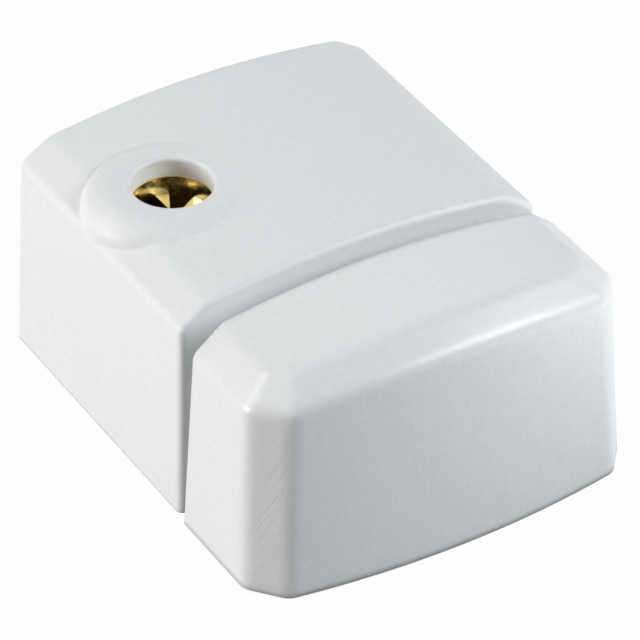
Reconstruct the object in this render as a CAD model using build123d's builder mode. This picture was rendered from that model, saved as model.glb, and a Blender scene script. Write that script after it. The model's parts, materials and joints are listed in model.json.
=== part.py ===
import os
from math import cos, radians, sin, sqrt, tan

from build123d import *

os.makedirs("parts", exist_ok=True)

# Outer form: X across, front towards -Y, Z up from the window frame
body_width = 48.0
body_length = 38.1
crown_height = 28.2
arch_radius = 112.0
side_draft = 2.9
front_draft = 2.9
bevel_width = 3.6
bevel_drop = 1.7
bevel_low_round = 1.5
bevel_top_round = 4.0
rim_round = 0.75
edge_break = 0.45
wall = 2.5
inner_bevel = 0.58

# Bolt head in front of the housing
gap = 1.45
head_length = 19.1
head_draft = 3.4
head_rear_draft = 1.35
head_bow = 120.0
head_width = 48.9
head_corner = 3.4
head_corner_round = 2.4
head_bevel = 3.6
head_bevel_drop = 2.3
head_low_round = 1.9
head_top_round = 2.0
head_lift = 0.2
head_wall = 3.2
head_roof = 5.0
travel = 14.0

# Key hole and its flat round boss
key_inset = 11.54
key_from_rear = 17.1
key_turn = 90.0
boss_radius = 10.3
boss_rise = 0.52
boss_edge = 3.4
hole_radius = 4.67
hole_edge = 0.45
key_recess = 2.5
tube_radius = 9.2
tube_floor = 14.0

# Brass bush and spindle
bush_radius = 7.0
spindle_radius = 4.3
flare = 0.22
lug_depth = 2.1
lug_height = 1.6
lug_count = 6
lug_angle = 16.7
lug_half = 14.0
lug_apex = 1.1
centre_hole = 0.9
square = 5.6
collar_radius = 2.6
pivot_radius = 2.2
seal_height = 18.0
seal_section = 0.47
seal_groove = 1.3

# Cam, its retaining ring and its stop
cam_radius = 8.2
cam_bite = 2.76
cam_flat = 5.0
hub_radius = 4.3
hub_height = 1.0
clip_thick = 0.6
clip_radius = 4.2
clip_neck = 1.9
clip_mouth = 2.6
stop_orbit = 5.65
stop_radius = 0.8
stop_bearing = 225.0
stop_reach = 1.2
stop_seat = 5.0
groove_play = 10.0

# Base plate
base_thick = 3.0
fixing_radius = 2.25
fixing_head = 4.0
fixing_inset = 8.0
fixing_front = 10.0
fixing_rear = 6.65
tab_width = 8.0
tab_thick = 2.0
tab_height = 9.0
tongue_width = 8.0
tongue_length = 1.3
tongue_thick = 1.5
tongue_pitch = 24.0

# Slide bar and what holds it
bar_thick = 6.0
bar_seat = 14.2
bar_tail = 6.15
guide_floor = 1.9
guide_wall = 4.0
guide_lip = 2.2
lip_reach = 2.2
foot_reach = 2.8
guide_tail = 0.6
rivet_radius = 1.5
rivet_head = 2.6
rivet_dome = 1.0
rivet_round = 0.7
rivet_front = 4.5
rivet_rear = 2.4
bar_stop_radius = 2.0
bar_stop_inset = 5.5
bar_stop_from_front = 8.45
bezel_wall = 1.5
bezel_edge = 0.22

# Leaf spring, buffer and glide pad
leaf_width = 3.2
leaf_thick = 0.5
leaf_span = 14.0
leaf_foot = 5.0
leaf_tail = 4.2
leaf_rivet = 1.1
leaf_rivet_head = 1.5
leaf_rivet_dome = 0.6
buffer_width = 8.0
buffer_height = 8.0
pad_thick = 1.5
pad_rim = 2.4
pad_proud = 0.15

# Screws
m3_radius = 1.45
m3_head = 2.7
m3_length = 6.0
m3_height = 7.5
m4_radius = 1.95
m4_head = 3.0
m4_head_height = 2.2
m4_length = 8.4
m4_pitch = 6.0
m4_from_rear = 6.2
socket_radius = 1.3
socket_depth = 1.1

# Ribs under the roof of the housing
rib_thick = 1.4
rib_depth = 3.5
rib_pitch = 8.0

# Clearances
slide_clear = 0.1
side_clear = 0.15
run_clear = 0.04
seat_clear = 0.03
cam_clear = 0.3
fit_clear = 0.2
screw_clear = 0.2

# Stations along Y
half = body_width / 2
rear_y = (body_length + gap + head_length) / 2
front_y = rear_y - body_length
head_y = front_y - gap
tip_y = head_y - head_length
middle_y = (front_y + rear_y) / 2
front_in = front_y + wall / cos(radians(front_draft))
rear_in = rear_y - wall
side_lean = tan(radians(side_draft))
front_lean = tan(radians(front_draft))

# Key axis, and heights from the base plate up
key_x = key_inset - half
key_y = rear_y - key_from_rear
bar_low = base_thick + guide_floor + slide_clear
bar_top = bar_low + bar_thick
cam_low = bar_low + fit_clear
cam_top = bar_top - fit_clear
hub_top = cam_top + hub_height
bush_low = hub_top + fit_clear
boss_top = crown_height - arch_radius + sqrt(arch_radius**2 - key_x**2) + boss_rise
bush_top = boss_top - key_recess
lug_top = bush_top - lug_depth
bore_radius = spindle_radius + run_clear
clip_low = cam_low - clip_thick
collar_low = (base_thick + clip_low) / 2
stop_low = cam_top - stop_reach
stop_length = bush_low + stop_seat - slide_clear - stop_low
groove_start = radians(stop_bearing - key_turn - groove_play)
groove_end = radians(stop_bearing + groove_play)
groove_reach = 3 * cam_radius

# Bar, guides and plate
bar_half = -key_x - (cam_radius - cam_bite)
bar_front = head_y - bar_seat
bar_rear = rear_y - bar_tail
bar_length = bar_rear - bar_front
notch_radius = cam_radius + cam_clear
bar_stop_x = bar_half - bar_stop_inset
bar_stop_y = front_y + bar_stop_from_front
guide_in = bar_half + side_clear
guide_out = guide_in + guide_wall
guide_top = bar_top + slide_clear + guide_lip
tab_y = front_in + (base_thick + tab_height) * front_lean + slide_clear
guide_front = tab_y + slide_clear
guide_rear = rear_in - guide_tail
rivet_x = (guide_in + guide_out) / 2
rivet_ys = (guide_front + rivet_front, guide_rear - rivet_rear)
plate_rear = rear_in - fit_clear
plate_half = half - wall / cos(radians(side_draft)) - base_thick * side_lean - fit_clear
tab_x = half - fixing_inset
fixing_x = half - fixing_inset
fixing_ys = (front_y + fixing_front, rear_y - fixing_rear)
bezel_half = guide_in + bezel_wall
bezel_low = base_thick + fit_clear
bezel_top = bar_top + side_clear + bezel_wall
leaf_rear = rear_in - leaf_tail
leaf_rivet_y = leaf_rear - leaf_foot / 2
bow_rear = leaf_rear - leaf_foot
bow_front = bow_rear - leaf_span
bow_middle = (bow_front + bow_rear) / 2
leaf_low = base_thick + leaf_thick / 2
leaf_high = bar_low - slide_clear / 2 - leaf_thick / 2
m3_face = front_y + m3_height * front_lean
m3_plane = Plane((0, m3_face + slide_clear, m3_height), x_dir=(1, 0, 0), z_dir=(0, 1, 0))
pad_low = head_lift - pad_proud
pad_top = pad_low + pad_thick
m4_low = pad_top + slide_clear
screw_ys = (head_y - m4_from_rear, head_y - m4_from_rear - m4_pitch)
head_half = head_width / 2
head_shoulder = tip_y + head_bow - sqrt(head_bow**2 - head_half**2)
spring_line = crown_height - arch_radius + sqrt(arch_radius**2 - head_half**2)
core_in = bar_half + head_wall
core_out = head_half - crown_height * side_lean - head_corner
core_x = (core_in + core_out) / 2
core_width = core_out - core_in
core_rear = head_y - pad_rim - head_wall / 2
core_front = head_shoulder + head_corner
core_y = (core_rear + core_front) / 2
core_length = core_rear - core_front


def arched_end(inset, share):
    """End view of the lock, lying `inset` inside its outer face, with a share of its bevels."""
    foot = half - inset / cos(radians(side_draft))
    crown = crown_height - inset
    radius = arch_radius - inset
    centre = crown - radius
    # Corner where the leaning side meets the arch
    a = 1 + side_lean**2
    b = -2 * (foot * side_lean + centre)
    c = foot**2 + centre**2 - radius**2
    top = (-b + sqrt(b**2 - 4 * a * c)) / (2 * a)
    # Ends of the bevel that takes this corner off
    roof_x = foot - top * side_lean - share * bevel_width
    roof_z = centre + sqrt(radius**2 - roof_x**2)
    side_z = top - share * bevel_drop
    side_x = foot - side_z * side_lean
    with BuildSketch(Plane.XZ.offset(-rear_y)) as end_view:
        with BuildLine():
            Polyline((roof_x, roof_z), (side_x, side_z), (foot, 0))
            Line((foot, 0), (-foot, 0))
            Polyline((-foot, 0), (-side_x, side_z), (-roof_x, roof_z))
            ThreePointArc((-roof_x, roof_z), (0, crown), (roof_x, roof_z))
        make_face()
        fillet(end_view.vertices().group_by(Axis.Y)[1], share * bevel_low_round)
        fillet(end_view.vertices().group_by(Axis.Y)[-1], share * bevel_top_round)
    return end_view.sketch


# Hollow inside the housing: what it leaves standing becomes the key tube and the roof ribs
with BuildPart() as hollow:
    extrude(arched_end(wall, inner_bevel), amount=body_length + wall, dir=(0, -1, 0))
    split(bisect_by=Plane((0, front_in, 0), z_dir=(0, -1, front_lean)), keep=Keep.BOTTOM)
    split(bisect_by=Plane((0, rear_in, 0), z_dir=(0, 1, 0)), keep=Keep.BOTTOM)
    with BuildSketch(Plane.XY.offset(tube_floor)):
        with Locations((key_x, key_y)):
            Circle(tube_radius)
    extrude(amount=crown_height, mode=Mode.SUBTRACT)
    with BuildSketch(Plane.XY.offset(crown_height - wall - rib_depth)):
        with Locations((rib_pitch / 2, middle_y), (rib_pitch * 3 / 2, middle_y)):
            Rectangle(rib_thick, body_length)
    extrude(amount=crown_height, mode=Mode.SUBTRACT)

# Flat boss around the key hole, with its edge rolled over
with BuildPart() as key_boss:
    with BuildSketch(Plane.XY.offset(crown_height - wall - rib_depth)):
        with Locations((key_x, key_y)):
            Circle(boss_radius)
    extrude(amount=boss_top - crown_height + wall + rib_depth)
    fillet(key_boss.edges().group_by(Axis.Z)[-1], boss_edge)

# White cast housing
with BuildPart() as housing:
    extrude(arched_end(0, 1), amount=body_length + wall, dir=(0, -1, 0))
    split(bisect_by=Plane((0, front_y, 0), z_dir=(0, -1, front_lean)), keep=Keep.BOTTOM)
    # Fine roundings at both ends, all but along the bottom
    front_rim = housing.faces().sort_by(Axis.Y)[0].edges().sort_by(Axis.Z)[1:]
    rear_rim = housing.faces().sort_by(Axis.Y)[-1].edges().sort_by(Axis.Z)[1:]
    fillet(front_rim + rear_rim, rim_round)
    add(key_boss.part)
    add(hollow.part, mode=Mode.SUBTRACT)
    # Seat for the bush, then the key hole with its soft rim
    with BuildSketch(Plane.XY.offset(bush_top)):
        with Locations((key_x, key_y)):
            Circle(bush_radius + seat_clear)
    extrude(amount=-crown_height, mode=Mode.SUBTRACT)
    with BuildSketch(Plane.XY.offset(bush_top)):
        with Locations((key_x, key_y)):
            Circle(hole_radius)
    extrude(amount=crown_height, mode=Mode.SUBTRACT)
    circles = housing.edges().filter_by(GeomType.CIRCLE)
    rim = circles.filter_by(lambda e: abs(e.radius - hole_radius) < seat_clear).sort_by(Axis.Z)[-1]
    fillet(rim, hole_edge)
    # Window in the front wall for the bar and its bezel
    with BuildSketch(Plane.XZ.offset(-front_in - tab_thick)):
        with Locations((0, (bezel_low + bezel_top) / 2)):
            Rectangle(2 * bezel_half + slide_clear, bezel_top - bezel_low + slide_clear)
    extrude(amount=2 * wall + tab_thick, mode=Mode.SUBTRACT)
    # Screw holes in the front wall
    with Locations(Plane((0, m3_face, m3_height), x_dir=(1, 0, 0), z_dir=(0, -1, 0))):
        with Locations((-tab_x, 0), (tab_x, 0)):
            CounterSinkHole(m3_radius + screw_clear, m3_head + screw_clear, 2 * wall)
    # Pockets in the rear wall for the plate's tongues
    with BuildSketch(Plane.XY.offset(base_thick - tongue_thick - slide_clear)):
        with Locations((-tongue_pitch / 2, rear_in), (tongue_pitch / 2, rear_in)):
            Rectangle(tongue_width + fit_clear, 2 * tongue_length)
    extrude(amount=tongue_thick + 2 * slide_clear, mode=Mode.SUBTRACT)
housing.part.label = "housing"
export_step(housing.part, "parts/housing.step")

# Steel plate that is screwed to the window frame
with BuildPart() as base_plate:
    with BuildSketch():
        with Locations((0, (tab_y + plate_rear) / 2)):
            Rectangle(2 * plate_half, plate_rear - tab_y)
        with Locations((key_x, key_y)):
            Circle(pivot_radius + run_clear, mode=Mode.SUBTRACT)
        with Locations((bar_stop_x, bar_stop_y)):
            Circle(bar_stop_radius + seat_clear, mode=Mode.SUBTRACT)
        with Locations((0, leaf_rivet_y)):
            Circle(leaf_rivet + seat_clear, mode=Mode.SUBTRACT)
        with Locations([(x, y) for x in (-rivet_x, rivet_x) for y in rivet_ys]):
            Circle(rivet_radius + seat_clear, mode=Mode.SUBTRACT)
    extrude(amount=base_thick)
    with BuildSketch(Plane.XY.offset(base_thick - tongue_thick)):
        with Locations((-tongue_pitch / 2, plate_rear), (tongue_pitch / 2, plate_rear)):
            Rectangle(tongue_width, 2 * tongue_length)
    extrude(amount=tongue_thick)
    with BuildSketch(Plane.XY.offset(base_thick)):
        with Locations((-tab_x, tab_y + tab_thick / 2), (tab_x, tab_y + tab_thick / 2)):
            Rectangle(tab_width, tab_thick)
    extrude(amount=tab_height)
    tab_corners = base_plate.edges().filter_by(Axis.Y).group_by(Axis.Z)[-1]
    fillet(tab_corners, tab_thick)
    with Locations(Plane((0, tab_y, m3_height), x_dir=(1, 0, 0), z_dir=(0, -1, 0))):
        with Locations((-tab_x, 0), (tab_x, 0)):
            Hole(m3_radius + seat_clear, tab_thick)
    with Locations([(x, y, base_thick) for x in (-fixing_x, fixing_x) for y in fixing_ys]):
        CounterSinkHole(fixing_radius, fixing_head)
base_plate.part.label = "base_plate"
export_step(base_plate.part, "parts/base_plate.step")

# Rails on both sides of the bar: floor, wall and a lip over the top
with BuildPart() as guide_right:
    with BuildSketch(Plane.XZ.offset(-guide_rear)):
        with BuildLine():
            Polyline(
                (guide_out, base_thick),
                (guide_out, guide_top),
                (guide_in - lip_reach, guide_top),
                (guide_in - lip_reach, guide_top - guide_lip),
                (guide_in, guide_top - guide_lip),
                (guide_in, bar_low - slide_clear),
                (guide_in - foot_reach, bar_low - slide_clear),
                (guide_in - foot_reach, base_thick),
                close=True,
            )
        make_face()
    extrude(amount=guide_rear - guide_front)
    with Locations([(rivet_x, y, guide_top) for y in rivet_ys]):
        Hole(rivet_radius + seat_clear)
guide_right.part.label = "guide_right"
export_step(guide_right.part, "parts/guide_right.step")

# The left rail is cleared around the cam and the spindle's collar
with BuildPart() as guide_left:
    add(guide_right.part)
    mirror(about=Plane.YZ, mode=Mode.REPLACE)
    with BuildSketch(Plane.XY.offset(bar_low - slide_clear)):
        with Locations((key_x, key_y)):
            Circle(notch_radius + fit_clear)
    extrude(amount=guide_top, mode=Mode.SUBTRACT)
    with BuildSketch(Plane.XY.offset(base_thick)):
        with Locations((key_x, key_y)):
            Circle(clip_radius + cam_clear)
    extrude(amount=guide_top, mode=Mode.SUBTRACT)
guide_left.part.label = "guide_left"
export_step(guide_left.part, "parts/guide_left.step")

# Rivets through rails and plate
with BuildPart() as guide_rivets:
    with BuildSketch():
        with Locations([(x, y) for x in (-rivet_x, rivet_x) for y in rivet_ys]):
            Circle(rivet_radius)
    extrude(amount=guide_top)
    with BuildSketch(Plane.XY.offset(guide_top)):
        with Locations([(x, y) for x in (-rivet_x, rivet_x) for y in rivet_ys]):
            Circle(rivet_head)
    extrude(amount=rivet_dome)
    fillet(guide_rivets.edges().group_by(Axis.Z)[-1], rivet_round)
guide_rivets.part.label = "guide_rivets"
export_step(guide_rivets.part, "parts/guide_rivets.step")

# Plastic frame around the bar in the front wall
with BuildPart() as bar_bezel:
    with BuildSketch(Plane.XZ.offset(-tab_y + slide_clear)):
        with Locations((0, (bezel_low + bezel_top) / 2)):
            RectangleRounded(2 * bezel_half, bezel_top - bezel_low, edge_break)
        with Locations((0, bar_low + bar_thick / 2)):
            Rectangle(2 * guide_in, bar_thick + 2 * side_clear, mode=Mode.SUBTRACT)
    extrude(amount=tab_y - slide_clear - front_y - bezel_top * front_lean)
    chamfer(bar_bezel.faces().sort_by(Axis.Y)[0].outer_wire().edges(), bezel_edge)
bar_bezel.part.label = "bar_bezel"
export_step(bar_bezel.part, "parts/bar_bezel.step")

# Steel bar: one notch for the bolt drawn in, and half a notch behind for the bolt thrown out
with BuildPart() as slide_bar:
    with BuildSketch(Plane.XY.offset(bar_low)):
        with Locations((0, (bar_front + bar_rear) / 2)):
            Rectangle(2 * bar_half, bar_length)
        with Locations((key_x, key_y), (key_x, key_y + travel)):
            Circle(notch_radius, mode=Mode.SUBTRACT)
        with Locations((bar_stop_x, bar_stop_y + travel / 2)):
            SlotCenterToCenter(travel, 2 * (bar_stop_radius + side_clear), rotation=90, mode=Mode.SUBTRACT)
        with Locations([(0, y) for y in screw_ys]):
            Circle(m4_radius + seat_clear, mode=Mode.SUBTRACT)
    extrude(amount=bar_thick)
    front_end = slide_bar.faces().sort_by(Axis.Y)[0]
    chamfer(front_end.edges().filter_by(Axis.Z), edge_break)
slide_bar.part.label = "slide_bar"
export_step(slide_bar.part, "parts/slide_bar.step")

# Pin in the bar's long slot
with BuildPart() as bar_stop_pin:
    with BuildSketch(Plane.XY.offset(slide_clear)):
        with Locations((bar_stop_x, bar_stop_y)):
            Circle(bar_stop_radius)
    extrude(amount=bar_top - 2 * slide_clear)
    chamfer(bar_stop_pin.edges().group_by(Axis.Z)[-1], edge_break)
bar_stop_pin.part.label = "bar_stop_pin"
export_step(bar_stop_pin.part, "parts/bar_stop_pin.step")

# Bowed leaf between plate and bar
with BuildPart() as friction_spring:
    with BuildSketch(Plane.YZ.offset(-leaf_width / 2)):
        with BuildLine():
            ThreePointArc((bow_front, leaf_low), (bow_middle, leaf_high), (bow_rear, leaf_low))
            Line((bow_rear, leaf_low), (leaf_rear, leaf_low))
        trace(line_width=leaf_thick)
    extrude(amount=leaf_width)
    with Locations((0, leaf_rivet_y, base_thick + leaf_thick)):
        Hole(leaf_rivet + seat_clear)
friction_spring.part.label = "friction_spring"
export_step(friction_spring.part, "parts/friction_spring.step")

# Rivet through the leaf's foot
with BuildPart() as spring_rivet:
    with BuildSketch(Plane.XY.offset(slide_clear)):
        with Locations((0, leaf_rivet_y)):
            Circle(leaf_rivet)
    extrude(amount=base_thick + leaf_thick)
    with BuildSketch(Plane.XY.offset(base_thick + leaf_thick + slide_clear / 2)):
        with Locations((0, leaf_rivet_y)):
            Circle(leaf_rivet_head)
    extrude(amount=leaf_rivet_dome)
spring_rivet.part.label = "spring_rivet"
export_step(spring_rivet.part, "parts/spring_rivet.step")

# Rubber block behind the bar
with BuildPart() as end_buffer:
    with BuildSketch(Plane.XY.offset(base_thick)):
        with Locations((0, (bar_rear + side_clear + plate_rear) / 2)):
            Rectangle(buffer_width, plate_rear - bar_rear - side_clear)
    extrude(amount=buffer_height)
    fillet(end_buffer.faces().sort_by(Axis.Z)[-1].edges(), edge_break)
end_buffer.part.label = "end_buffer"
export_step(end_buffer.part, "parts/end_buffer.step")

# Brass bush below the key hole, flared at the mouth
with BuildPart() as key_bush:
    with BuildSketch(Plane.XZ):
        with BuildLine():
            Polyline(
                (bore_radius, bush_low),
                (bush_radius, bush_low),
                (bush_radius, bush_top),
                (bore_radius + flare, bush_top),
                (bore_radius, lug_top),
                close=True,
            )
        make_face()
    revolve(axis=Axis.Z)
    with Locations(Rotation(0, 0, stop_bearing) * Pos(stop_orbit, 0, bush_low)):
        Cylinder(stop_radius + seat_clear, 2 * stop_seat, mode=Mode.SUBTRACT)
bush_placed = Pos(key_x, key_y, 0) * key_bush.part
bush_placed.label = "key_bush"
export_step(bush_placed, "parts/key_bush.step")

# Brass spindle: ring of wedge lugs for the key, seal groove, square for the cam, neck and pivot
with BuildPart() as key_spindle:
    with BuildSketch(Plane.XZ):
        with BuildLine():
            Polyline(
                (0, hub_top),
                (spindle_radius, hub_top),
                (spindle_radius, seal_height - seal_groove / 2),
                (spindle_radius - 2 * seal_section, seal_height - seal_groove / 2),
                (spindle_radius - 2 * seal_section, seal_height + seal_groove / 2),
                (spindle_radius, seal_height + seal_groove / 2),
                (spindle_radius, lug_top - lug_height),
                (0, lug_top - lug_height),
                close=True,
            )
        make_face()
    revolve(axis=Axis.Z)
    with BuildSketch(Plane.XY.offset(lug_top - lug_height)):
        with PolarLocations(0, lug_count, start_angle=lug_angle):
            Polygon(
                (lug_apex, 0),
                (2 * spindle_radius, -(2 * spindle_radius - lug_apex) * tan(radians(lug_half))),
                (2 * spindle_radius, (2 * spindle_radius - lug_apex) * tan(radians(lug_half))),
                align=None,
            )
        Circle(spindle_radius, mode=Mode.INTERSECT)
    extrude(amount=lug_height)
    with Locations((0, 0, lug_top - lug_height)):
        Cylinder(centre_hole, 2 * lug_height, mode=Mode.SUBTRACT)
    with BuildSketch(Plane.XY.offset(cam_low)):
        Rectangle(square, square)
    extrude(amount=hub_top - cam_low)
    with BuildSketch(Plane.XY.offset(clip_low)):
        Circle(clip_neck)
    extrude(amount=clip_thick)
    with BuildSketch(Plane.XY.offset(collar_low)):
        Circle(collar_radius)
    extrude(amount=clip_low - collar_low)
    with BuildSketch(Plane.XY.offset(slide_clear)):
        Circle(pivot_radius)
    extrude(amount=collar_low - slide_clear)
spindle_placed = Pos(key_x, key_y, 0) * key_spindle.part
spindle_placed.label = "key_spindle"
export_step(spindle_placed, "parts/key_spindle.step")

# Rubber ring in the spindle's groove
with BuildPart() as spindle_seal:
    with Locations((key_x, key_y, seal_height)):
        Torus(spindle_radius - seal_section + run_clear / 4, seal_section)
spindle_seal.part.label = "spindle_seal"
export_step(spindle_seal.part, "parts/spindle_seal.step")

# Cam: disc with a flat that lets the bar pass, and an arc groove for the stop
with BuildPart() as lock_cam:
    with BuildSketch(Plane.XY.offset(cam_low)):
        Circle(cam_radius)
        with Locations((cam_flat + cam_radius, 0)):
            Rectangle(2 * cam_radius, 2 * cam_radius, mode=Mode.SUBTRACT)
    extrude(amount=cam_top - cam_low)
    with BuildSketch(Plane.XY.offset(cam_top)):
        Circle(hub_radius)
    extrude(amount=hub_height)
    with BuildSketch(Plane.XY.offset(cam_top)):
        Circle(stop_orbit + stop_radius + fit_clear)
        Circle(stop_orbit - stop_radius - fit_clear, mode=Mode.SUBTRACT)
        with BuildLine():
            Polyline(
                (0, 0),
                (groove_reach * cos(groove_start), groove_reach * sin(groove_start)),
                (-groove_reach, 0),
                (groove_reach * cos(groove_end), groove_reach * sin(groove_end)),
                close=True,
            )
        make_face(mode=Mode.INTERSECT)
    extrude(amount=-stop_reach - fit_clear, mode=Mode.SUBTRACT)
    with BuildSketch(Plane.XY.offset(cam_low)):
        Rectangle(square + 2 * seat_clear, square + 2 * seat_clear)
    extrude(amount=hub_top, mode=Mode.SUBTRACT)
cam_placed = Pos(key_x, key_y, 0) * lock_cam.part
cam_placed.label = "lock_cam"
export_step(cam_placed, "parts/lock_cam.step")

# Open retaining ring under the cam
with BuildPart() as cam_clip:
    with BuildSketch(Plane.XY.offset(clip_low)):
        with Locations((key_x, key_y)):
            Circle(clip_radius)
            Circle(clip_neck + seat_clear, mode=Mode.SUBTRACT)
        with Locations((key_x - clip_radius, key_y)):
            Rectangle(2 * clip_radius, clip_mouth, mode=Mode.SUBTRACT)
    extrude(amount=clip_thick)
cam_clip.part.label = "cam_clip"
export_step(cam_clip.part, "parts/cam_clip.step")

# Stop pin in the underside of the bush
with BuildPart() as cam_stop_pin:
    with Locations(Pos(key_x, key_y, stop_low) * Rotation(0, 0, stop_bearing) * Pos(stop_orbit, 0, 0)):
        Cylinder(stop_radius, stop_length, align=(Align.CENTER, Align.CENTER, Align.MIN))
cam_stop_pin.part.label = "cam_stop_pin"
export_step(cam_stop_pin.part, "parts/cam_stop_pin.step")

# Screws through the front wall, with hexagon sockets
with BuildPart() as housing_screws:
    with BuildSketch(m3_plane):
        with Locations((-tab_x, 0), (tab_x, 0)):
            Circle(m3_radius)
    extrude(amount=m3_length)
    with BuildSketch(m3_plane):
        with Locations((-tab_x, 0), (tab_x, 0)):
            Circle(m3_head)
    extrude(amount=m3_head - m3_radius, taper=45)
    with BuildSketch(m3_plane):
        with Locations((-tab_x, 0), (tab_x, 0)):
            RegularPolygon(socket_radius, 6)
    extrude(amount=socket_depth, mode=Mode.SUBTRACT)
housing_screws.part.label = "housing_screws"
export_step(housing_screws.part, "parts/housing_screws.step")

# Screws that hold the bar in the head, put in from below
with BuildPart() as bar_screws:
    with BuildSketch(Plane.XY.offset(m4_low)):
        with Locations([(0, y) for y in screw_ys]):
            Circle(m4_head)
    extrude(amount=m4_head_height)
    with BuildSketch(Plane.XY.offset(m4_low)):
        with Locations([(0, y) for y in screw_ys]):
            Circle(m4_radius)
    extrude(amount=m4_length)
    with BuildSketch(Plane.XY.offset(m4_low)):
        with Locations([(0, y) for y in screw_ys]):
            RegularPolygon(socket_radius, 6)
    extrude(amount=socket_depth, mode=Mode.SUBTRACT)
bar_screws.part.label = "bar_screws"
export_step(bar_screws.part, "parts/bar_screws.step")


# White cast bolt head: bowed front, drafted all round, arched like the housing
def head_outline(height):
    """Outline of the head at a height, with its front corners cut off."""
    rise = height - head_lift
    side = head_half - rise * side_lean
    tip = tip_y + rise * tan(radians(head_draft))
    shoulder = tip + head_bow - sqrt(head_bow**2 - side**2)
    with BuildSketch(Plane.XY.offset(height)) as outline:
        with BuildLine():
            Polyline((side, shoulder), (side, front_y), (-side, front_y), (-side, shoulder))
            ThreePointArc((-side, shoulder), (0, tip), (side, shoulder))
        make_face()
        chamfer(outline.vertices().group_by(Axis.Y)[0], head_corner)
    return outline.sketch


def pad_outline(rim):
    """Outline of the glide pad, `rim` inside the foot of the head."""
    with BuildSketch(Plane.XY.offset(pad_low)) as outline:
        with BuildLine():
            side = head_half - rim
            shoulder = tip_y + head_bow - sqrt((head_bow - rim) ** 2 - side**2)
            Polyline((side, shoulder), (side, head_y - rim), (-side, head_y - rim), (-side, shoulder))
            ThreePointArc((-side, shoulder), (0, tip_y + rim), (side, shoulder))
        make_face()
        fillet(outline.vertices(), head_corner - rim)
    return outline.sketch


with BuildPart() as bolt_head:
    loft([head_outline(head_lift), head_outline(crown_height + head_corner)])
    with BuildSketch(Plane.XZ.offset(-front_y)):
        with BuildLine():
            Polyline((head_half, spring_line), (head_half, 0), (-head_half, 0), (-head_half, spring_line))
            ThreePointArc((-head_half, spring_line), (0, crown_height), (head_half, spring_line))
        make_face()
    extrude(amount=2 * head_length, mode=Mode.INTERSECT)
    split(
        bisect_by=Plane((0, head_y, 0), z_dir=(0, 1, tan(radians(head_rear_draft)))),
        keep=Keep.BOTTOM,
    )
    # Bevels along the sides, the corners and the front of the roof
    roof = bolt_head.faces().sort_by(Axis.Z)[-1]
    chamfer(roof.edges().sort_by(Axis.Y)[:-1], head_bevel, head_bevel_drop, reference=roof)
    # Uprights of the cut corners rounded first, then all edges of the bevels but those at the rear
    tall = bolt_head.edges().filter_by(lambda edge: edge.bounding_box().size.Z > crown_height / 2)
    fillet(tall.sort_by(Axis.Y)[:-2], head_corner_round)
    roof = bolt_head.faces().sort_by(Axis.Z)[-1]
    rear_face = bolt_head.faces().sort_by(Axis.Y)[-1]
    bevels = bolt_head.faces().sort_by(Axis.Z)[-6:-1]
    bevel_edges = set(bevels.edges()) - set(roof.edges()) - set(rear_face.edges())
    fillet(bevel_edges, head_low_round)
    roof = bolt_head.faces().sort_by(Axis.Z)[-1]
    fillet(roof.edges().sort_by(Axis.Y)[:-1], head_top_round)
    rear_face = bolt_head.faces().sort_by(Axis.Y)[-1]
    fillet(rear_face.edges().sort_by(Axis.Z)[1:], edge_break)
    # Seat for the glide pad, and two cores beside the middle block
    extrude(pad_outline(pad_rim - slide_clear), amount=pad_top - pad_low, mode=Mode.SUBTRACT)
    with BuildSketch(Plane.XY.offset(pad_low)):
        with Locations((-core_x, core_y), (core_x, core_y)):
            RectangleRounded(core_width, core_length, head_wall / 2)
    extrude(amount=crown_height - head_roof - pad_low, mode=Mode.SUBTRACT)
    # Slot for the bar, and its screws
    with BuildSketch(Plane.XZ.offset(-front_y)):
        with Locations((0, bar_low + bar_thick / 2)):
            Rectangle(2 * (bar_half + slide_clear / 2), bar_thick + slide_clear)
    extrude(amount=front_y - bar_front + slide_clear, mode=Mode.SUBTRACT)
    with BuildSketch(Plane.XY.offset(pad_low)):
        with Locations([(0, y) for y in screw_ys]):
            Circle(m4_head + screw_clear)
    extrude(amount=m4_low + m4_head_height - pad_low, mode=Mode.SUBTRACT)
    with BuildSketch(Plane.XY.offset(pad_low)):
        with Locations([(0, y) for y in screw_ys]):
            Circle(m4_radius + screw_clear)
    extrude(amount=bar_low + slide_clear - pad_low, mode=Mode.SUBTRACT)
bolt_head.part.label = "bolt_head"
export_step(bolt_head.part, "parts/bolt_head.step")

# Plastic glide pad, pressed into the underside of the head
with BuildPart() as bolt_pad:
    extrude(pad_outline(pad_rim), amount=pad_thick)
    chamfer(bolt_pad.faces().sort_by(Axis.Z)[0].edges(), pad_proud)
bolt_pad.part.label = "bolt_pad"
export_step(bolt_pad.part, "parts/bolt_pad.step")
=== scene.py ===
# %% [markdown]
# A window lock, coated white, with a brass key spindle. The sizes and the moving bodies come
# from the imported model, so this lesson starts by loading it. Its nodes sit at the origin with
# their place in the mesh, in metres.

# %% Load the frame
import json
from math import cos, pi, radians, sin

import bpy
from mathutils import Matrix, Vector


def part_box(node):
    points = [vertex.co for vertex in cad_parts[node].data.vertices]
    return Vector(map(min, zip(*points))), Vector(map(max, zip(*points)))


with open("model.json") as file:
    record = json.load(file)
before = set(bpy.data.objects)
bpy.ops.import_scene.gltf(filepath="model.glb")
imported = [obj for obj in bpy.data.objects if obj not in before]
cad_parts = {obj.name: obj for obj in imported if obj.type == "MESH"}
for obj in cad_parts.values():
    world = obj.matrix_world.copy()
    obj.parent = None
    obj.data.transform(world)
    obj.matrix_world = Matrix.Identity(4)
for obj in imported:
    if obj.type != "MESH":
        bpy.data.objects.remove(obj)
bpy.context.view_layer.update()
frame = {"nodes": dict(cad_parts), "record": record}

nodes = frame["nodes"]
mm = 0.001

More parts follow.
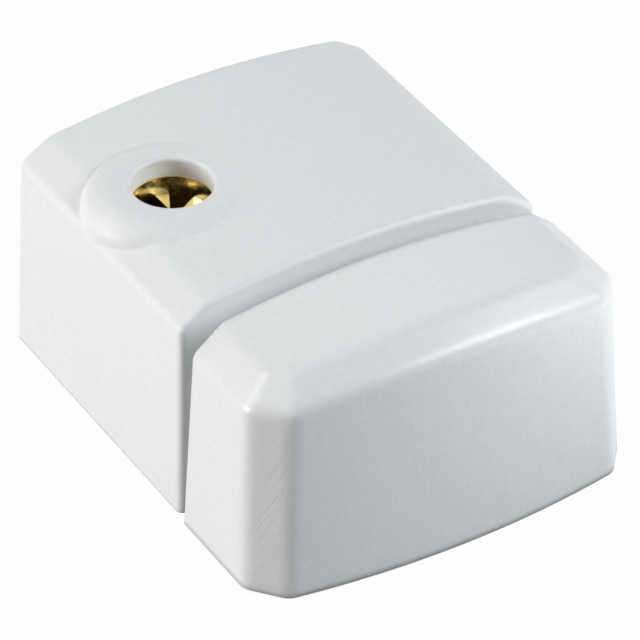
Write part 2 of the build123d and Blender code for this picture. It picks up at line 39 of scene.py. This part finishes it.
# %% [markdown]
# The lock was looked down on from its front left, from far away with a long lens, which keeps
# the sides nearly parallel. A camera can be aimed with a constraint, but writing its three axes
# down as a matrix also fixes the small roll.

# %% Camera
lens_in_pixels = 4500.0
image_width = 640.0
turn, height, roll = radians(-31.37), radians(37.25), radians(0.29)
eye = Vector((-210.0, -343.4, 318.0)) * mm
back = Vector((sin(turn) * cos(height), -cos(turn) * cos(height), sin(height)))
level = Vector((cos(turn), sin(turn), 0))
across = level * cos(roll) + back.cross(level) * sin(roll)
upright = back.cross(across)

bpy.ops.object.camera_add()
camera = bpy.context.object
camera.data.lens = lens_in_pixels / image_width * camera.data.sensor_width
camera.data.clip_start = 0.01
facing = Matrix((across, upright, back)).transposed().to_4x4()
camera.matrix_world = Matrix.Translation(eye) @ facing
bpy.context.scene.camera = camera
print("lens", round(camera.data.lens, 1), "mm")

# %% [markdown]
# The backdrop is white. The floor glows for the camera and for reflections, and mixes in a
# little plain white paper, which still takes the shadow of the lock. The light that falls on
# the lock stays at a plain level.

# %% Floor and backdrop
scene = bpy.context.scene
scene.view_settings.view_transform = "Standard"
white = (1, 1, 1, 1)
sky_strength = 0.01
floor_size = 4
paper_share = 0.06
paper_lit = (0.3, 0.3, 0.3, 1)
paper_shown = (0.95, 0.95, 0.95, 1)


def seen_directly(tree):
    """One for rays from the camera, a reflection or a clear body, else nothing."""
    path = tree.nodes.new("ShaderNodeLightPath").outputs
    total = path["Is Camera Ray"]
    for ray in ("Is Glossy Ray", "Is Transmission Ray"):
        add = tree.nodes.new("ShaderNodeMath")
        add.use_clamp = True
        tree.links.new(total, add.inputs[0])
        tree.links.new(path[ray], add.inputs[1])
        total = add.outputs[0]
    return total


world = bpy.data.worlds.new("white surround")
scene.world = world
world.use_nodes = True
sky = world.node_tree
lit = sky.nodes["Background"]
lit.inputs["Color"].default_value = white
lit.inputs["Strength"].default_value = sky_strength
shown = sky.nodes.new("ShaderNodeBackground")
shown.inputs["Color"].default_value = white
blend = sky.nodes.new("ShaderNodeMixShader")
sky.links.new(seen_directly(sky), blend.inputs["Fac"])
sky.links.new(lit.outputs[0], blend.inputs[1])
sky.links.new(shown.outputs[0], blend.inputs[2])
sky.links.new(blend.outputs[0], sky.nodes["World Output"].inputs["Surface"])

bpy.ops.object.select_all(action="DESELECT")
bpy.ops.mesh.primitive_plane_add(size=floor_size)
floor = bpy.context.object
floor.name = "floor"
paper = bpy.data.materials.new("white paper")
paper.use_nodes = True
sheet = paper.node_tree
sheet.nodes.remove(sheet.nodes["Principled BSDF"])
matt = sheet.nodes.new("ShaderNodeBsdfDiffuse")
tone = sheet.nodes.new("ShaderNodeMix")
tone.data_type = "RGBA"
tone.inputs[6].default_value = paper_lit
tone.inputs[7].default_value = paper_shown
sheet.links.new(seen_directly(sheet), tone.inputs["Factor"])
sheet.links.new(tone.outputs[2], matt.inputs["Color"])
glow = sheet.nodes.new("ShaderNodeEmission")
share = sheet.nodes.new("ShaderNodeMath")
share.operation = "MULTIPLY"
share.inputs[1].default_value = 1 - paper_share
blend = sheet.nodes.new("ShaderNodeMixShader")
sheet.links.new(seen_directly(sheet), share.inputs[0])
sheet.links.new(share.outputs[0], blend.inputs["Fac"])
sheet.links.new(matt.outputs[0], blend.inputs[1])
sheet.links.new(glow.outputs[0], blend.inputs[2])
sheet.links.new(blend.outputs[0], sheet.nodes["Material Output"].inputs["Surface"])
floor.data.materials.append(paper)
print("floor", [round(s, 1) for s in floor.dimensions], "m")

# %% [markdown]
# Five soft boxes stand round the lock, all at arm's length. The strongest is low at its left, so
# the left side is bright. Two at the front right, and a small reflector on the floor there, make
# the front go from dark to light towards the right. The others soften the top and the back.

# %% Lamps
lamp_distance = 0.9
box_size = 0.4
reflector_place = Vector((72, -80, 0.6)) * mm
reflector_size = 0.09
reflector_power = 0.042
plain, cool = (1, 1, 1), (0.95, 0.985, 1)
soft_boxes = {
    "left box": (252, 4, 7.9, plain),
    "high left box": (240, 36, 3.1, plain),
    "front box": (40, 36, 4.7, cool),
    "high right box": (58, 42, 2.2, cool),
    "back box": (150, 35, 0.5, plain),
}
for name, (bearing, rise, power, tint) in soft_boxes.items():
    bearing, rise = radians(bearing), radians(rise)
    towards = Vector((sin(bearing) * cos(rise), -cos(bearing) * cos(rise), sin(rise)))
    bpy.ops.object.light_add(type="AREA", location=towards * lamp_distance)
    lamp = bpy.context.object
    lamp.name = name
    lamp.data.size = box_size
    lamp.data.energy = power
    lamp.data.color = tint
    lamp.rotation_euler = towards.to_track_quat("Z", "Y").to_euler()
bpy.ops.object.light_add(type="AREA", location=reflector_place)
reflector = bpy.context.object
reflector.name = "floor reflector"
reflector.data.shape = "DISK"
reflector.data.size = reflector_size
reflector.data.energy = reflector_power
reflector.data.color = cool
reflector.rotation_euler = (pi, 0, 0)
print(len(soft_boxes), "soft boxes and a reflector")

# %% [markdown]
# A coat that is sprayed on as powder melts into a skin with a very fine waviness, like orange
# peel, and lies a little thicker in some places than in others. Several finishes share this
# effect, so it is one node group. It is given the place on the object and gives back a height
# for the bump and two even shades of mottling.

# %% Shared effect: powder skin


def start_group(name, values, results):
    """New shader group with a place, some values and its results."""
    group = bpy.data.node_groups.new(name, "ShaderNodeTree")
    group.interface.new_socket("Place", in_out="INPUT", socket_type="NodeSocketVector")
    for label, value in values.items():
        socket = group.interface.new_socket(label, in_out="INPUT", socket_type="NodeSocketFloat")
        socket.default_value = value
    for label in results:
        group.interface.new_socket(label, in_out="OUTPUT", socket_type="NodeSocketFloat")
    entry = group.nodes.new("NodeGroupInput")
    outcome = group.nodes.new("NodeGroupOutput")
    return group, entry.outputs, outcome.inputs


def noise(tree, place, scale, detail):
    """Soft noise over the object, `scale` spots to the metre."""
    spots = tree.nodes.new("ShaderNodeTexNoise")
    spots.inputs["Detail"].default_value = detail
    tree.links.new(place, spots.inputs["Vector"])
    if isinstance(scale, (int, float)):
        spots.inputs["Scale"].default_value = scale
    else:
        tree.links.new(scale, spots.inputs["Scale"])
    return spots.outputs["Fac"]


def levels(tree, value, low, high, new_low, new_high):
    """Stretches a value from one range to another and stops at its ends."""
    change = tree.nodes.new("ShaderNodeMapRange")
    tree.links.new(value, change.inputs["Value"])
    for socket, number in zip(change.inputs[1:5], (low, high, new_low, new_high)):
        socket.default_value = number
    return change.outputs["Result"]


powder_skin, given, result = start_group(
    "powder skin", {"Peel": 900.0, "Mottle": 160.0}, ("Height", "Shade", "Gloss")
)
powder_skin.links.new(noise(powder_skin, given["Place"], given["Peel"], 0), result["Height"])
spread = noise(powder_skin, given["Place"], given["Mottle"], 4)
powder_skin.links.new(levels(powder_skin, spread, 0.3, 0.7, 0, 1), result["Shade"])
fine = noise(powder_skin, given["Place"], given["Peel"], 5)
powder_skin.links.new(levels(powder_skin, fine, 0.35, 0.65, 0, 1), result["Gloss"])
print("group", powder_skin.name, "with", len(powder_skin.nodes), "nodes")

# %% [markdown]
# Every finish starts in the same way: a new material, its shader and the place on the object.
# A colour that changes over the surface is mixed from two close shades. Fine marks all go the
# same way when the place is stretched before the noise reads it.

# %% Helpers for the finishes


def start_finish(name):
    """New material, its node tree, its shader and the place on the object."""
    finish = bpy.data.materials.new(name)
    finish.use_nodes = True
    tree = finish.node_tree
    place = tree.nodes.new("ShaderNodeTexCoord").outputs["Object"]
    return finish, tree, tree.nodes["Principled BSDF"], place


def set_roughness(tree, shader, mask, smooth, rough):
    """Roughness that goes from one value to another with the mask."""
    tree.links.new(levels(tree, mask, 0, 1, smooth, rough), shader.inputs["Roughness"])


def use_group(tree, group, place, **values):
    """Places a shared effect in a finish, with its own values."""
    node = tree.nodes.new("ShaderNodeGroup")
    node.node_tree = group
    tree.links.new(place, node.inputs["Place"])
    for label, value in values.items():
        node.inputs[label].default_value = value
    return node.outputs


def two_shades(tree, mask, first, second):
    """Colour that goes from the first shade to the second with the mask."""
    mix = tree.nodes.new("ShaderNodeMix")
    mix.data_type = "RGBA"
    tree.links.new(mask, mix.inputs["Factor"])
    for socket, shade in zip(mix.inputs[6:8], (first, second)):
        if isinstance(shade, tuple):
            socket.default_value = (*shade, 1)
        else:
            tree.links.new(shade, socket)
    return mix.outputs[2]


def stretched(tree, place, scale, turn=(0, 0, 0)):
    """The place on the object, turned and then scaled differently along each axis."""
    for label, value in (("Rotation", turn), ("Scale", scale)):
        mapping = tree.nodes.new("ShaderNodeMapping")
        mapping.inputs[label].default_value = value
        tree.links.new(place, mapping.inputs["Vector"])
        place = mapping.outputs["Vector"]
    return place


def combine(tree, operation, first, second):
    """Sum, difference or product of two values, or of a value and a number."""
    node = tree.nodes.new("ShaderNodeMath")
    node.operation = operation
    tree.links.new(first, node.inputs[0])
    if isinstance(second, (int, float)):
        node.inputs[1].default_value = second
    else:
        tree.links.new(second, node.inputs[1])
    return node.outputs[0]


def relief(tree, shader, height, depth, under=None):
    """Bump of a real depth in metres on the whole finish, over another normal if there is one."""
    bump = tree.nodes.new("ShaderNodeBump")
    bump.inputs["Distance"].default_value = depth
    tree.links.new(height, bump.inputs["Height"])
    if under:
        tree.links.new(under, bump.inputs["Normal"])
    tree.links.new(bump.outputs["Normal"], shader.inputs["Normal"])


# %% [markdown]
# The castings are white with a cool satin coat. Under it, the casting was rubbed down, which
# left fine upright streaks on the walls. The coat also runs off sharp corners while it melts,
# which rounds them a little more than the metal below, and the Bevel node gives that softness.
# On the bolt, the cut corner at the left has fine slanting scratches from handling.

# %% Finish: white coat
coat_relief = 0.000006
coat_shades = ((0.774, 0.783, 0.79), (0.812, 0.819, 0.824))
edge_samples = 8
streak_scale, streak_squeeze, streak_share = 1600, 0.04, 1.8
scratch_scale, scratch_squeeze, scratch_depth = 2600, 0.03, 2.2
scratch_from, scratch_to = 0.6, 0.68
scratch_slant = radians(30)
corner_facing = Vector((-1, -1, 0))
corner_reach = 0.006
scratch_turn = Matrix.Rotation(scratch_slant, 3, corner_facing).to_euler()
bolt_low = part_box("bolt_head")[0]
scuffed_corner = (bolt_low.x, bolt_low.y + corner_reach / 2, 0)


def coat(name, softness, roughness, scuffed):
    """White coat that rounds the corners by its softness, with or without the scuffed corner."""
    finish, tree, shader, place = start_finish(name)
    skin = use_group(tree, powder_skin, place, Peel=3000.0, Mottle=1500.0)
    streaks = noise(tree, stretched(tree, place, (1, 1, streak_squeeze)), streak_scale, 1)
    streaks = combine(tree, "MULTIPLY", streaks, streak_share)
    height = combine(tree, "ADD", skin["Height"], streaks)
    if scuffed:
        flat = stretched(tree, place, (1, 1, 0))
        away = tree.nodes.new("ShaderNodeVectorMath")
        away.operation = "DISTANCE"
        away.inputs[1].default_value = scuffed_corner
        tree.links.new(flat, away.inputs[0])
        near = levels(tree, away.outputs["Value"], corner_reach, corner_reach / 2, 0, 1)
        slanted = stretched(tree, place, (1, 1, scratch_squeeze), scratch_turn)
        lines = noise(tree, slanted, scratch_scale, 2)
        cut = levels(tree, lines, scratch_from, scratch_to, 0, scratch_depth)
        height = combine(tree, "SUBTRACT", height, combine(tree, "MULTIPLY", cut, near))
    tree.links.new(two_shades(tree, skin["Shade"], *coat_shades), shader.inputs["Base Color"])
    set_roughness(tree, shader, skin["Gloss"], *roughness)
    soft = tree.nodes.new("ShaderNodeBevel")
    soft.samples = edge_samples
    soft.inputs["Radius"].default_value = softness
    relief(tree, shader, height, coat_relief, soft.outputs["Normal"])
    return finish


housing_coat = coat("housing coat", softness=0.0006, roughness=(0.43, 0.51), scuffed=False)
bolt_coat = coat("bolt coat", softness=0.0016, roughness=(0.28, 0.34), scuffed=True)
print("finishes", housing_coat.name, "and", bolt_coat.name)

# %% [markdown]
# The bush and the spindle are turned brass. On the tops of the lugs and at the mouth of the bush
# they are bright brass, and down in the recess their colour is a painted shade, dark brown. The
# height on the object tells the two apart.

# %% Finish: turned brass
lug_height = 0.0016
brass_relief = 0.000004
shade_edge_ripple = 0.0003
painted_shade_tones = ((0.1, 0.065, 0.03), (0.17, 0.115, 0.05))
spindle_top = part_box("key_spindle")[1].z


def turned_brass(name, dark_below, bright_above, bright):
    """Brass that goes from a dark brown painted shade to bright between two heights."""
    finish, tree, shader, place = start_finish(name)
    skin = use_group(tree, powder_skin, place, Peel=2500.0, Mottle=900.0)
    parts = tree.nodes.new("ShaderNodeSeparateXYZ")
    tree.links.new(place, parts.inputs[0])
    # Low in the recess the colour is a painted shade, dark brown; near the top it is bright brass.
    # A small ripple makes the edge between them uneven.
    ripple = combine(tree, "MULTIPLY", skin["Shade"], shade_edge_ripple)
    uneven = combine(tree, "ADD", parts.outputs["Z"], ripple)
    above_shade = levels(tree, uneven, dark_below, bright_above, 0, 1)
    shaded_brass = two_shades(tree, skin["Shade"], *painted_shade_tones)
    tree.links.new(two_shades(tree, above_shade, shaded_brass, bright), shader.inputs["Base Color"])
    set_roughness(tree, shader, skin["Gloss"], 0.14, 0.26)
    shader.inputs["Metallic"].default_value = 1
    relief(tree, shader, skin["Height"], brass_relief)
    return finish


# On each piece the painted shade reaches up to its own height under the tops of the lugs.
spindle_brass = turned_brass(
    "spindle brass",
    dark_below=spindle_top - lug_height / 2,
    bright_above=spindle_top - lug_height / 16,
    bright=(0.95, 0.86, 0.6),
)
bush_brass = turned_brass(
    "bush brass",
    dark_below=spindle_top - lug_height / 4,
    bright_above=spindle_top + lug_height / 2,
    bright=(0.8, 0.66, 0.34),
)
print("finishes", spindle_brass.name, "and", bush_brass.name)

# %% [markdown]
# The works inside are steel with a thin plating of zinc, which is pale grey with soft cloudy
# patches and not very shiny.

# %% Finish: plated steel
steel_relief = 0.000006
steel_shades = ((0.56, 0.57, 0.58), (0.68, 0.69, 0.7))
plated_steel, tree, shader, place = start_finish("plated steel")
skin = use_group(tree, powder_skin, place, Peel=1200.0, Mottle=300.0)
tree.links.new(two_shades(tree, skin["Shade"], *steel_shades), shader.inputs["Base Color"])
set_roughness(tree, shader, skin["Gloss"], 0.3, 0.45)
shader.inputs["Metallic"].default_value = 1
relief(tree, shader, skin["Height"], steel_relief)
print("finish", plated_steel.name)

# %% [markdown]
# The glide pad and the frame round the bar are moulded in dark grey plastic with a fine grain.
# The buffer and the seal are black rubber, duller and with an even finer grain. Both are the
# same kind of surface, so one function makes them from a few values.

# %% Finishes: dark plastic and black rubber


def moulded(name, shades, grain, depth, roughness):
    """Dull moulded surface with a grain of its own."""
    finish, tree, shader, place = start_finish(name)
    skin = use_group(tree, powder_skin, place, Peel=grain, Mottle=220.0)
    tree.links.new(two_shades(tree, skin["Shade"], *shades), shader.inputs["Base Color"])
    set_roughness(tree, shader, skin["Gloss"], *roughness)
    relief(tree, shader, skin["Height"], depth)
    return finish


dark_plastic = moulded(
    "dark plastic",
    shades=((0.045, 0.047, 0.05), (0.06, 0.062, 0.065)),
    grain=1800.0,
    depth=0.00002,
    roughness=(0.5, 0.65),
)
black_rubber = moulded(
    "black rubber",
    shades=((0.02, 0.02, 0.02), (0.032, 0.032, 0.033)),
    grain=2500.0,
    depth=0.00001,
    roughness=(0.7, 0.85),
)
print("finishes", dark_plastic.name, "and", black_rubber.name)

# %% [markdown]
# The record says which slot each node belongs to, so the dressing follows it. The two castings
# share a slot and differ only in wear; the two brass pieces share a slot and differ in their
# bright shade and in how high their painted shade reaches.

# %% Dress the nodes
finish_of_slot = {"steel": plated_steel, "grey_plastic": dark_plastic, "black_rubber": black_rubber}
finish_of_node = {
    "housing": housing_coat,
    "bolt_head": bolt_coat,
    "key_bush": bush_brass,
    "key_spindle": spindle_brass,
}
for subpart in frame["record"]["subparts"]:
    name = subpart["node"]
    finish = finish_of_node.get(name) or finish_of_slot[subpart["material_slot"]]
    nodes[name].data.materials.clear()
    nodes[name].data.materials.append(finish)
print(len(nodes), "nodes dressed")
